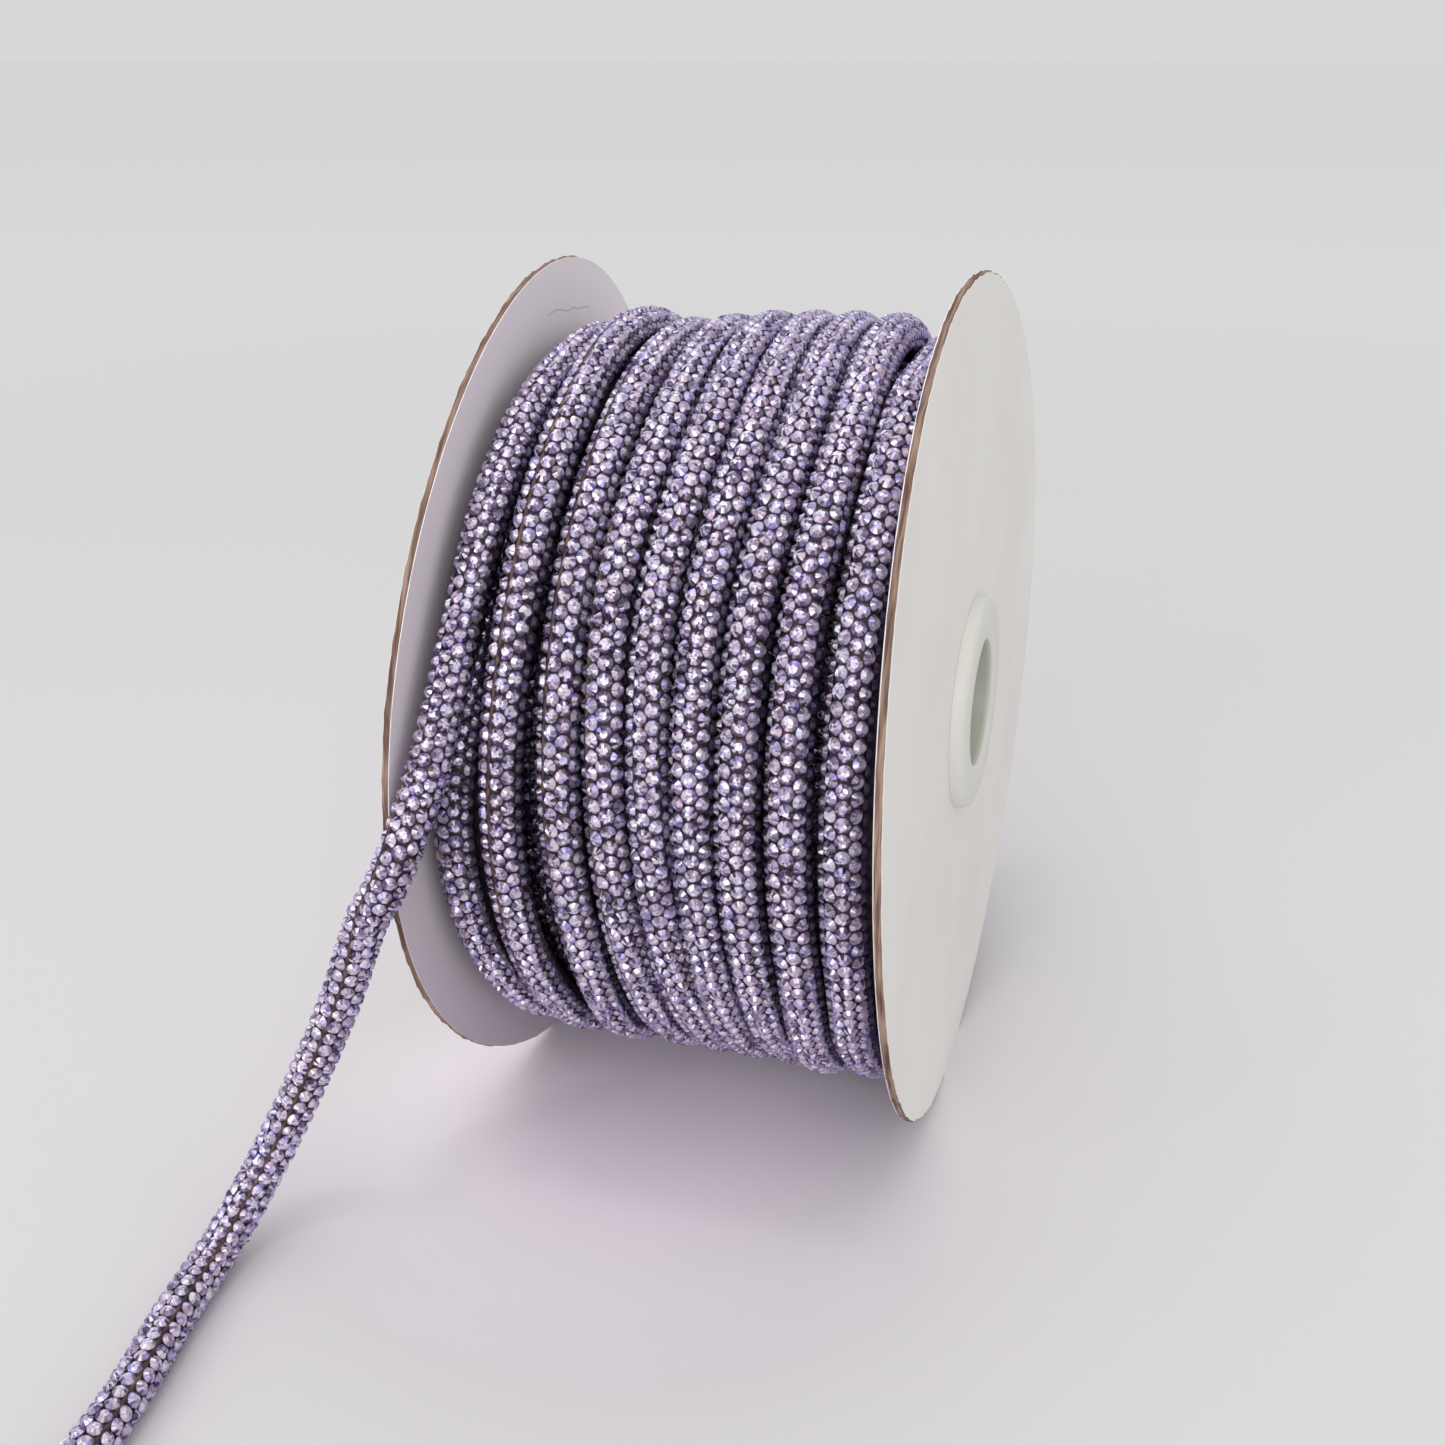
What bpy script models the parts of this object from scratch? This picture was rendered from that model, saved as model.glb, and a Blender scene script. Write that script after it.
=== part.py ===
"""Rhinestone rope trim wound on a card spool, with its loose end drawn out over the left flange.

Run with: blender --background --python part.py
The spool's axis lies along X, the floor is Z = 0, and the front of the spool looks along -Y.
Sizes are millimetres, turned into metres by MM.
"""

import math

import bmesh
import bpy
import numpy as np

MM = 0.001

# Spool
FLANGE_RADIUS = 58.0
FLANGE_BOARD = 1.06
FLANGE_GAP = 59.5
FLAT_CHORD = 14.0
FLANGE_STEPS = 96
FLANGE_RINGS = 5
STIFF_RADIUS = 30.0
WARP_LEFT = {"tilt_cos": 1.87, "tilt_sin": 0.3, "saddle_cos": -0.82, "saddle_sin": 1.39}
WARP_RIGHT = {"tilt_cos": -0.1, "tilt_sin": -0.85, "saddle_cos": 0.57, "saddle_sin": -0.45}

# Hub and the card tube between the flanges
BORE_RADIUS = 8.6
HUB_WALL = 1.6
COLLAR_RADIUS = 15.0
COLLAR_HEIGHT = 1.6
COLLAR_ROUND = 0.4
CORE_RADIUS = 27.5
CORE_WALL = 1.8
CLEARANCE = 0.3
ROUND_STEPS = 64

# Rope and its winding
ROPE_RADIUS = 2.95
ROPE_LINE_RADIUS = 49.6
WINDING_SAG = 1.05
LAYER_DROP = 5.0
TURN_PITCH = 5.87
WINDING_ROWS = 72
WINDING_COLUMNS = 60
WINDING_GROOVE = 1.9

# Angles go up the front of the roll: 0 is the front, 90 the top, 180 the back and 270 the bottom.
FRONT_ANGLES = {"under": -40, "low": -27, "middle": -4, "high": 31, "upper": 61, "top": 78}

# One row for each turn of the outer layer, from left to right: its centre's X at the front angles and
# at the back, and how far it stands proud of the mean winding at the top and underneath.
TURNS = [
    {"name": "B", "under": -17.0, "low": -17.7, "middle": -18.0, "high": -17.0, "upper": -17.1,
     "top": -17.7, "back": -20.4, "top_lift": 0.3, "under_lift": 0.2},
    {"name": "C", "under": -9.2, "low": -8.9, "middle": -10.0, "high": -10.5, "upper": -10.4,
     "top": -10.6, "back": -14.6, "top_lift": -0.9, "under_lift": 0.8},
    {"name": "D", "under": -2.5, "low": -2.7, "middle": -3.8, "high": -5.3, "upper": -4.1,
     "top": -4.6, "back": -8.8, "top_lift": -0.2, "under_lift": -0.2},
    {"name": "E", "under": 3.0, "low": 2.6, "middle": 1.6, "high": 0.3, "upper": 1.7,
     "top": 1.1, "back": -2.9, "top_lift": 0.5, "under_lift": -0.3},
    {"name": "F", "under": 8.0, "low": 7.6, "middle": 6.9, "high": 6.0, "upper": 7.3,
     "top": 6.9, "back": 2.9, "top_lift": 0.8, "under_lift": -0.2},
    {"name": "G", "under": 13.2, "low": 13.2, "middle": 12.3, "high": 11.8, "upper": 12.9,
     "top": 12.4, "back": 8.8, "top_lift": 0.9, "under_lift": -0.3},
    {"name": "H", "under": 18.7, "low": 19.2, "middle": 18.5, "high": 17.8, "upper": 18.8,
     "top": 18.3, "back": 14.7, "top_lift": 0.9, "under_lift": 1.4},
    {"name": "I", "under": 24.4, "low": 25.2, "middle": 24.9, "high": 24.5, "upper": 24.7,
     "top": 24.4, "back": 20.5, "top_lift": 0.0, "under_lift": 0.1},
]

# The last turn on the left lies against the flange and slips under the loose end's turn.
LEFT_TURN = [
    {"angle": -40, "x": -23.9, "sink": 0.8}, {"angle": -27, "x": -25.2, "sink": 1.0},
    {"angle": -4, "x": -25.3, "sink": 1.6}, {"angle": 5, "x": -25.0, "sink": 3.0},
    {"angle": 12, "x": -24.6, "sink": 4.8}, {"angle": 20, "x": -24.0, "sink": 5.6},
    {"angle": 60, "x": -22.0, "sink": 5.6},
]

# The first turn on the right comes over the top and dives beside the flange.
RIGHT_TURN = [
    {"angle": 86, "x": 25.2, "sink": 3.6}, {"angle": 93, "x": 25.4, "sink": 1.2},
    {"angle": 103, "x": 25.8, "sink": 0.0}, {"angle": 180, "x": 26.3, "sink": 0.0},
    {"angle": 270, "x": 25.8, "sink": 0.0}, {"angle": 320, "x": 24.4, "sink": 0.0},
]

# The loose end's own turn, from under the left turn at the back round to where it leaves the winding.
LOOSE_TURN = [
    {"angle": 31, "x": -23.7, "sink": 0.0}, {"angle": 61, "x": -23.2, "sink": 0.2},
    {"angle": 78, "x": -23.0, "sink": 1.2}, {"angle": 98, "x": -24.2, "sink": 1.9},
    {"angle": 180, "x": -26.2, "sink": 0.5}, {"angle": 250, "x": -26.2, "sink": 2.5},
    {"angle": 290, "x": -25.4, "sink": 5.4},
]
RIGHT_DIVE = [{"angle": 66, "sink": 0.0}, {"angle": 84, "sink": 3.6}, {"angle": 97, "sink": 3.2},
              {"angle": 118, "sink": 0.0}]
BACK_ANGLE = 180
TOP_LIFT_ANGLE = 97
TOP_LIFT_SPREAD = 34
UNDER_LIFT_ANGLE = -62
UNDER_LIFT_SPREAD = 26

# Loose end: its route's points, measured from the spool's middle on the floor
LOOSE_RADIUS = 2.75
LOOSE_STEPS = 30
FLOOR_GAP = 0.05
LOOSE_ROUTE = [
    (-24.0, -46.7, 75.4), (-24.5, -50.9, 68.4), (-25.1, -55.2, 61.4), (-26.3, -59.4, 54.6),
    (-28.7, -60.5, 48.7), (-31.9, -60.4, 43.0), (-36.1, -61.0, 31.8), (-41.2, -63.2, 19.6),
    (-45.2, -67.8, 9.6), (-46.9, -75.6, 3.6), (-45.8, -86.6, 2.8), (-43.4, -98.9, 2.8),
    (-42.3, -107.5, 2.8), (-42.4, -116.0, 2.8), (-43.6, -124.0, 2.8),
]

# Colours are linear
CARD_COLOUR = (0.60, 0.58, 0.57, 1.0)
TUBE_COLOUR = (0.30, 0.21, 0.15, 1.0)
HUB_COLOUR = (0.66, 0.66, 0.64, 1.0)
ROPE_COLOUR = (0.28, 0.22, 0.32, 1.0)

FLAT_DEPTH = FLANGE_RADIUS - math.sqrt(FLANGE_RADIUS ** 2 - (FLAT_CHORD / 2) ** 2)
AXIS_HEIGHT = FLANGE_RADIUS - FLAT_DEPTH
HALF_GAP = FLANGE_GAP / 2
OUTER_FACE = HALF_GAP + FLANGE_BOARD


def clear_scene():
    for item in list(bpy.data.objects):
        bpy.data.objects.remove(item, do_unlink=True)


def material(name, colour, roughness):
    made = bpy.data.materials.new(name)
    made.use_nodes = True
    shader = made.node_tree.nodes["Principled BSDF"]
    shader.inputs["Base Color"].default_value = colour
    shader.inputs["Roughness"].default_value = roughness
    shader.inputs["Metallic"].default_value = 0.0
    return made


def link(name, mesh, finish):
    mesh.materials.append(finish)
    mesh.shade_smooth()
    mesh.set_sharp_from_angle(angle=math.radians(35))
    placed = bpy.data.objects.new(name, mesh)
    bpy.context.collection.objects.link(placed)
    return placed


def skin(name, rings, finish):
    """A closed body from rings of points: each ring joins the next, and the last joins the first."""
    shape = bmesh.new()
    loops = [[shape.verts.new([part * MM for part in point]) for point in ring] for ring in rings]
    count = len(loops[0])
    for here, after in zip(loops, loops[1:] + loops[:1]):
        for i in range(count):
            j = (i + 1) % count
            shape.faces.new((here[i], here[j], after[j], after[i]))
    bmesh.ops.recalc_face_normals(shape, faces=shape.faces)
    mesh = bpy.data.meshes.new(name)
    shape.to_mesh(mesh)
    shape.free()
    return link(name, mesh, finish)


def warp(angle, radius, bends):
    """How far the thin card leans along X: nothing near the hub, most at the rim."""
    reach = max(0.0, radius - STIFF_RADIUS) / (FLANGE_RADIUS - STIFF_RADIUS)
    lean = bends["tilt_cos"] * math.cos(angle) + bends["tilt_sin"] * math.sin(angle)
    saddle = bends["saddle_cos"] * math.cos(2 * angle) + bends["saddle_sin"] * math.sin(2 * angle)
    return (lean + saddle) * reach ** 1.5


def disc_point(x, radius, angle, bends):
    across = -radius * math.cos(angle)
    height = max(AXIS_HEIGHT + radius * math.sin(angle), 0.0)
    return (x + warp(angle, radius, bends), across, height)


def flange(name, side, bends, finish):
    """A card disc with a hole for the hub, its rim cut flat where it stands."""
    hole = BORE_RADIUS + HUB_WALL + CLEARANCE
    steps = [hole, COLLAR_RADIUS + 1.0]
    steps += list(np.linspace(STIFF_RADIUS, FLANGE_RADIUS, FLANGE_RINGS))
    profile = [(side * HALF_GAP, radius) for radius in steps]
    profile += [(side * OUTER_FACE, radius) for radius in reversed(steps)]
    half_flat = math.asin(FLAT_CHORD / 2 / FLANGE_RADIUS)
    start = -math.pi / 2 + half_flat
    sweep = 2 * math.pi - 2 * half_flat
    angles = [start + sweep * i / (FLANGE_STEPS - 1) for i in range(FLANGE_STEPS)]
    rings = [[disc_point(x, radius, angle, bends) for x, radius in profile] for angle in angles]
    return skin(name, rings, finish)


def turned(name, profile, finish):
    """A ring turned about the spool's axis from (x, radius) points."""
    rings = []
    for i in range(ROUND_STEPS):
        angle = 2 * math.pi * i / ROUND_STEPS
        rings.append([(x, -radius * math.cos(angle), AXIS_HEIGHT + radius * math.sin(angle))
                      for x, radius in profile])
    return skin(name, rings, finish)


def core_tube(finish):
    end = HALF_GAP - CLEARANCE
    inner = CORE_RADIUS - CORE_WALL
    return turned("core_tube", [(-end, inner), (-end, CORE_RADIUS), (end, CORE_RADIUS), (end, inner)], finish)


def hub(name, side, finish):
    """Half of the plastic hub: a collar outside the flange and a sleeve that runs to the middle."""
    sleeve = BORE_RADIUS + HUB_WALL
    seat = OUTER_FACE + CLEARANCE
    face = seat + COLLAR_HEIGHT
    outline = [
        (CLEARANCE / 2, BORE_RADIUS), (CLEARANCE / 2, sleeve), (seat, sleeve), (seat, COLLAR_RADIUS),
        (face - COLLAR_ROUND, COLLAR_RADIUS), (face, COLLAR_RADIUS - COLLAR_ROUND),
        (face, BORE_RADIUS + COLLAR_ROUND), (face - COLLAR_ROUND, BORE_RADIUS),
    ]
    return turned(name, [(side * x, radius) for x, radius in outline], finish)


def bump(angle, centre, spread):
    gap = (angle - centre + 180) % 360 - 180
    return math.exp(-(gap / spread) ** 2)


def knots_of(turn, after):
    """A turn's knots from the front round to the next turn on its left, with its lift and its dive."""
    knots = [{"angle": FRONT_ANGLES[key], "x": turn[key], "turn": turn} for key in FRONT_ANGLES]
    knots.append({"angle": BACK_ANGLE, "x": turn["back"], "turn": turn})
    knots.append({"angle": FRONT_ANGLES["under"] + 360, "x": after, "turn": turn})
    return knots


def strand(knots):
    """Angles, X and sink of one turn as arrays for interpolation."""
    return {
        "angle": np.array([knot["angle"] for knot in knots], float),
        "x": np.array([knot["x"] for knot in knots], float),
        "sink": np.array([knot.get("sink", 0.0) for knot in knots], float),
        "turn": knots[0].get("turn"),
    }


def strands():
    made = [strand(LEFT_TURN), strand(RIGHT_TURN), strand(LOOSE_TURN)]
    lefts = [LEFT_TURN[0]["x"]] + [turn["under"] for turn in TURNS[:-1]]
    made += [strand(knots_of(turn, left)) for turn, left in zip(TURNS, lefts)]
    return made


def turn_sink(turn, angle):
    """How far a turn lies below the mean winding at an angle."""
    if turn is None:
        return 0.0
    lift = turn["top_lift"] * bump(angle, TOP_LIFT_ANGLE, TOP_LIFT_SPREAD)
    lift += turn["under_lift"] * bump(angle, UNDER_LIFT_ANGLE, UNDER_LIFT_SPREAD)
    dive = 0.0
    if turn["name"] == TURNS[-1]["name"]:
        dive = np.interp(angle, [knot["angle"] for knot in RIGHT_DIVE], [knot["sink"] for knot in RIGHT_DIVE])
    return dive - lift


def surface_radius(x, angle, lines):
    """The winding's outer radius: the highest turn over this place, or the layer below."""
    lower = ROPE_LINE_RADIUS - LAYER_DROP
    phase = (x / TURN_PITCH - angle / 360.0) % 1.0 - 0.5
    height = lower + math.sqrt(ROPE_RADIUS ** 2 - (min(abs(phase), 0.42) * TURN_PITCH) ** 2)
    for line in lines:
        for whole in (angle, angle + 360, angle - 360):
            if not line["angle"][0] <= whole <= line["angle"][-1]:
                continue
            middle = np.interp(whole, line["angle"], line["x"])
            off = abs(x - middle)
            if off >= ROPE_RADIUS:
                continue
            sink = np.interp(whole, line["angle"], line["sink"]) + turn_sink(line["turn"], whole)
            height = max(height, ROPE_LINE_RADIUS - sink + math.sqrt(ROPE_RADIUS ** 2 - off ** 2))
    return max(height, lower + WINDING_GROOVE)


def inner_face(side, angle, radius, bends):
    """X of a flange's inner face, less the clearance that the winding keeps from it."""
    return side * (HALF_GAP - CLEARANCE) + warp(math.radians(angle), radius, bends)


def winding(finish):
    """The roll as one ring: ridges for the turns, the layer below in the gaps, flat sides."""
    lines = strands()
    inner = CORE_RADIUS + CLEARANCE
    rings = []
    for i in range(WINDING_ROWS):
        angle = 360.0 * i / WINDING_ROWS - 90.0
        turn = math.radians(angle)
        reach = ROPE_LINE_RADIUS
        left = max(inner_face(-1, angle, reach, WARP_LEFT), inner_face(-1, angle, inner, WARP_LEFT))
        right = min(inner_face(1, angle, reach, WARP_RIGHT), inner_face(1, angle, inner, WARP_RIGHT))
        points = [(left, inner)]
        for j in range(WINDING_COLUMNS):
            x = left + (right - left) * j / (WINDING_COLUMNS - 1)
            points.append((x, surface_radius(x, angle, lines)))
        points.append((right, inner))
        ring = []
        for x, radius in points:
            sag = WINDING_SAG * (radius - inner) / (ROPE_LINE_RADIUS - inner)
            ring.append((x, -radius * math.cos(turn), AXIS_HEIGHT - sag + radius * math.sin(turn)))
        rings.append(ring)
    return skin("rope_winding", rings, finish)


def smooth_route(route, steps):
    """Evenly spaced points on a Catmull-Rom curve through the route's points."""
    points = np.array(route, float)
    padded = np.vstack([2 * points[0] - points[1], points, 2 * points[-1] - points[-2]])
    dense = []
    for i in range(len(points) - 1):
        before, start, end, after = padded[i:i + 4]
        for part in np.linspace(0, 1, 24, endpoint=False):
            dense.append(0.5 * (2 * start + (end - before) * part
                                + (2 * before - 5 * start + 4 * end - after) * part ** 2
                                + (3 * start - before - 3 * end + after) * part ** 3))
    dense.append(points[-1])
    dense = np.array(dense)
    run = np.concatenate([[0], np.cumsum(np.linalg.norm(np.diff(dense, axis=0), axis=1))])
    places = np.linspace(0, run[-1], steps)
    even = np.stack([np.interp(places, run, dense[:, k]) for k in range(3)], axis=1)
    even[:, 2] = np.maximum(even[:, 2], LOOSE_RADIUS + FLOOR_GAP)
    return even


def rope_end(finish):
    """The loose end: off the winding, over the left flange's rim and out along the floor."""
    shape = bpy.data.curves.new("rope_end", "CURVE")
    shape.dimensions = "3D"
    shape.bevel_depth = LOOSE_RADIUS * MM
    shape.bevel_resolution = 3
    shape.use_fill_caps = True
    line = shape.splines.new("POLY")
    points = smooth_route(LOOSE_ROUTE, LOOSE_STEPS)
    line.points.add(len(points) - 1)
    for slot, place in zip(line.points, points):
        slot.co = (*[part * MM for part in place], 1.0)
    shape.materials.append(finish)
    placed = bpy.data.objects.new("rope_end", shape)
    bpy.context.collection.objects.link(placed)
    return placed


def main():
    clear_scene()
    card = material("flange_card", CARD_COLOUR, 0.7)
    tube = material("core_card", TUBE_COLOUR, 0.85)
    plastic = material("hub_plastic", HUB_COLOUR, 0.45)
    rope = material("rhinestone_rope", ROPE_COLOUR, 0.3)
    flange("flange_left", -1, WARP_LEFT, card)
    flange("flange_right", 1, WARP_RIGHT, card)
    core_tube(tube)
    hub("hub_left", -1, plastic)
    hub("hub_right", 1, plastic)
    winding(rope)
    rope_end(rope)


main()
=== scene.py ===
"""Looks of a rhinestone rope trim wound on a card spool, with its loose end drawn over the left flange.

The spool's axis lies along X, the floor is Z = 0 and the front looks along -Y.
Lengths are millimetres, turned into metres by MM. Angles go up the front of the roll: 0 is the
front, 90 the top, 180 the back and 270 the bottom.
"""

import math

import bmesh
import bpy
import numpy as np
from mathutils import Matrix, Vector


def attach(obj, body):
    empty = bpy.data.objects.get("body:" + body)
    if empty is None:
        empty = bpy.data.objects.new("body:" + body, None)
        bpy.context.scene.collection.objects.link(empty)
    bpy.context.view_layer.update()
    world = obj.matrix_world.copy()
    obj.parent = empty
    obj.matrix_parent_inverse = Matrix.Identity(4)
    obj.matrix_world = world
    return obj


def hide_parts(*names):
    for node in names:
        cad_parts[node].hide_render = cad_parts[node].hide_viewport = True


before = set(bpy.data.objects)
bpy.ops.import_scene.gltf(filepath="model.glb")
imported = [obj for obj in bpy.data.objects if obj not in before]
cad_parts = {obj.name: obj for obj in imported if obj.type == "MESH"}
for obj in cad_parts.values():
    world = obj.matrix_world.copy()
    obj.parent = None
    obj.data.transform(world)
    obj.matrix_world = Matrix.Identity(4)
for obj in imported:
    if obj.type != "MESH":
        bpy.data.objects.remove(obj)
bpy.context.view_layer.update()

MM = 0.001
BODY = "root"

# Spool, as the frame has it
FLANGE_RADIUS = 58.0
FLANGE_BOARD = 1.06
SHEET = 0.12
RAGGED = 0.12
RAGGED_LINER = 0.03
HALF_GAP = 29.75
FLAT_CHORD = 14.0
STIFF_RADIUS = 30.0
WARP_LEFT = {"tilt_cos": 1.87, "tilt_sin": 0.3, "saddle_cos": -0.82, "saddle_sin": 1.39}
WARP_RIGHT = {"tilt_cos": -0.1, "tilt_sin": -0.85, "saddle_cos": 0.57, "saddle_sin": -0.45}
BORE_RADIUS = 8.6
HUB_WALL = 1.6
COLLAR_RADIUS = 15.0
COLLAR_HEIGHT = 1.6
CLEARANCE = 0.3
AXIS_HEIGHT = math.sqrt(FLANGE_RADIUS ** 2 - (FLAT_CHORD / 2) ** 2)
OUTER_FACE = HALF_GAP + FLANGE_BOARD

# Rope: a net tube set with round stones in columns, with one open seam
ROPE_RADIUS = 2.95
NET_RADIUS = 2.3
GIRDLE_RADIUS = 2.4
STONE_RADIUS = 1.0
STONE_PITCH = 1.95
STONE_TABLE = 0.52
STONE_CROWN = 0.5
STONE_COLUMNS = 9
COLUMN_STEP = 39.0
SEAM_EXTRA = 9.0
SEAM_RADIUS = 0.3

# How unevenly the stones are set: degrees round the rope, shares of a pitch, slope and shares of a size
TURN_JITTER = 0.7
SHIFT_JITTER = 0.015
TILT_JITTER = 0.035
SIZE_JITTER = 0.02

# Winding: the outer layer's line, the layer beneath it and the core
ROPE_LINE_RADIUS = 49.6
WINDING_SAG = 1.05
LAYER_DROP = 5.0
LOWER_TURNS = 8.9
TURN_PITCH = 5.87
CORE_RADIUS = 27.5

# How far round the rope from outward its stones are set, in degrees
WOUND_REACH = 100
LOWER_REACH = 60
HOLLOW_REACH = 160
HOLLOW_FROM = 14.0

# Shade drawn on the stones, from 0 to 1, where turns close on each other: it grows over the degrees
# from SHADE_FROM, and is weaker high up, where the turns lie open to the light
SHADE_FROM = 42
SHADE_OVER = 45
WOUND_VALLEY = 0.85
LOOSE_VALLEY = 0.95
LOOSE_VALLEY_PAST = 22
VALLEY_FADE = 15
LOWER_SHADE = 0.8
HOLLOW_SHADE = 0.45
OPEN_TO_LIGHT = {"height": [25.0, 48.0], "share": [1.0, 0.4]}

# Turns of the outer layer: x in millimetres at the angles named here, and the angle of the seam
FRONT_ANGLES = {"under": -40, "low": -27, "middle": -4, "high": 31, "upper": 61, "top": 78}
TURNS = [
    {"name": "B", "under": -17.0, "low": -17.7, "middle": -18.0, "high": -17.0, "upper": -17.1,
     "top": -17.7, "back": -20.4, "top_lift": 0.3, "under_lift": 0.2, "seam": -16, "seam_under": -30},
    {"name": "C", "under": -9.2, "low": -8.9, "middle": -10.0, "high": -10.5, "upper": -10.4,
     "top": -10.6, "back": -14.6, "top_lift": -0.9, "under_lift": 0.8, "seam": -30, "seam_under": -50},
    {"name": "D", "under": -2.5, "low": -2.7, "middle": -3.8, "high": -5.3, "upper": -4.1,
     "top": -4.6, "back": -8.8, "top_lift": -0.2, "under_lift": -0.2, "seam": -52, "seam_under": -24},
    {"name": "E", "under": 3.0, "low": 2.6, "middle": 1.6, "high": 0.3, "upper": 1.7,
     "top": 1.1, "back": -2.9, "top_lift": 0.5, "under_lift": -0.3, "seam": -84, "seam_under": -14},
    {"name": "F", "under": 8.0, "low": 7.6, "middle": 6.9, "high": 6.0, "upper": 7.3,
     "top": 6.9, "back": 2.9, "top_lift": 0.8, "under_lift": -0.2, "seam": -98, "seam_under": -80},
    {"name": "G", "under": 13.2, "low": 13.2, "middle": 12.3, "high": 11.8, "upper": 12.9,
     "top": 12.4, "back": 8.8, "top_lift": 0.9, "under_lift": -0.3, "seam": -88, "seam_under": -95},
    {"name": "H", "under": 18.7, "low": 19.2, "middle": 18.5, "high": 17.8, "upper": 18.8,
     "top": 18.3, "back": 14.7, "top_lift": 0.9, "under_lift": 1.4, "seam": -96, "seam_under": -90},
    {"name": "I", "under": 24.4, "low": 25.2, "middle": 24.9, "high": 24.5, "upper": 24.7,
     "top": 24.4, "back": 20.5, "top_lift": 0.0, "under_lift": 0.1, "seam": -90, "seam_under": -90},
]
LEFT_TURN = [
    {"angle": -40, "x": -23.9, "sink": 0.8}, {"angle": -27, "x": -25.2, "sink": 1.0},
    {"angle": -4, "x": -25.3, "sink": 1.6}, {"angle": 5, "x": -25.0, "sink": 3.0},
    {"angle": 12, "x": -24.6, "sink": 4.8}, {"angle": 20, "x": -24.0, "sink": 5.6},
    {"angle": 60, "x": -22.0, "sink": 5.6},
]
RIGHT_TURN = [
    {"angle": 68, "x": 25.0, "sink": 7.0}, {"angle": 77, "x": 25.1, "sink": 5.4},
    {"angle": 86, "x": 25.2, "sink": 3.6}, {"angle": 93, "x": 25.4, "sink": 1.2},
    {"angle": 103, "x": 25.8, "sink": 0.0}, {"angle": 180, "x": 26.3, "sink": 0.0},
    {"angle": 270, "x": 25.8, "sink": 0.0},
]
LOOSE_TURN = [
    {"angle": 31, "x": -23.7, "sink": 0.0}, {"angle": 61, "x": -23.2, "sink": 0.2},
    {"angle": 78, "x": -23.0, "sink": 1.2}, {"angle": 98, "x": -24.2, "sink": 1.9},
    {"angle": 180, "x": -26.2, "sink": 0.5}, {"angle": 250, "x": -26.2, "sink": 2.5},
    {"angle": 290, "x": -25.4, "sink": 5.4},
]
RIGHT_DIVE = [{"angle": 66, "sink": 0.0}, {"angle": 84, "sink": 2.5}, {"angle": 97, "sink": 2.2},
              {"angle": 118, "sink": 0.0}]
BACK_ANGLE = 180
TOP_LIFT_ANGLE = 97
TOP_LIFT_SPREAD = 34
UNDER_LIFT_ANGLE = -62
UNDER_LIFT_SPREAD = 26
LIFT_FADE = 15
SMOOTH_STEPS = 7

# Loose end: the frame's route, and how its seam turns to the front on the way down
LOOSE_ROUTE = [
    (-24.0, -46.7, 75.4), (-24.5, -50.9, 68.4), (-25.1, -55.2, 61.4), (-26.3, -59.4, 54.6),
    (-28.7, -60.5, 48.7), (-31.9, -60.4, 43.0), (-36.1, -61.0, 31.8), (-41.2, -63.2, 19.6),
    (-45.2, -67.8, 9.6), (-46.9, -75.6, 3.6), (-45.8, -86.6, 2.8), (-43.4, -98.9, 2.8),
    (-42.3, -107.5, 2.8), (-42.4, -116.0, 2.8), (-43.6, -124.0, 2.8),
]
LOOSE_DIAMETER = 5.5
LOOSE_SCALE = LOOSE_DIAMETER / 2 / ROPE_RADIUS
LOOSE_FRONT = Vector((0.48, -0.69, 0.55))
LOOSE_FRONT_FROM = 34.0
LOOSE_SEAM = [{"run": 0, "seam": -80}, {"run": 30, "seam": -70}, {"run": 52, "seam": -12},
              {"run": 75, "seam": -4}, {"run": 150, "seam": 4}]

# Small crease in the left liner near the top, a thin line of painted shade, in metres along Y and Z
CREASE_MIDDLE = 0.004
CREASE_LENGTH = 0.018
CREASE_HEIGHT = 0.1087
CREASE_SLOPE = 0.08
CREASE_WANDER = 0.0016
CREASE_WIDTH = 0.00025
CREASE_SHADE_COLOUR = "#DAD2D9"

# Camera, from the flange outlines
PHOTO_WIDTH = 1445
FOCAL_PIXELS = 1686.9
SENSOR_WIDTH = 36.0
CAMERA_PLACE = (64.5, -220.8, 141.3)
CAMERA_TURN = 17.55
CAMERA_DIP = 21.51

rng = np.random.default_rng(7)


def linear(hex_colour):
    """An sRGB hex colour as linear RGBA."""
    parts = [int(hex_colour[i:i + 2], 16) / 255 for i in (1, 3, 5)]
    return (*[p / 12.92 if p <= 0.04045 else ((p + 0.055) / 1.055) ** 2.4 for p in parts], 1.0)


def add(tree, kind, settings=None, inputs=None):
    """Adds a node: settings are its properties, inputs are values or the sockets that feed it."""
    node = tree.nodes.new(kind)
    for key, value in (settings or {}).items():
        setattr(node, key, value)
    for key, value in (inputs or {}).items():
        if isinstance(value, bpy.types.NodeSocket):
            tree.links.new(value, node.inputs[key])
        else:
            node.inputs[key].default_value = value
    return node


def ramp(tree, factor, stops):
    """A colour ramp from (place, hex colour) stops."""
    node = add(tree, "ShaderNodeValToRGB", inputs={"Fac": factor})
    marks = node.color_ramp.elements
    while len(marks) < len(stops):
        marks.new(1.0)
    for mark, (place, colour) in zip(marks, stops):
        mark.position = place
        mark.color = linear(colour)
    return node.outputs["Color"]


def new_material(name, roughness, metallic=0.0, ior=1.5):
    made = bpy.data.materials.new(name)
    made.use_nodes = True
    tree = made.node_tree
    shader = tree.nodes["Principled BSDF"]
    shader.inputs["Roughness"].default_value = roughness
    shader.inputs["Metallic"].default_value = metallic
    shader.inputs["IOR"].default_value = ior
    return made, tree, shader


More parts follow.
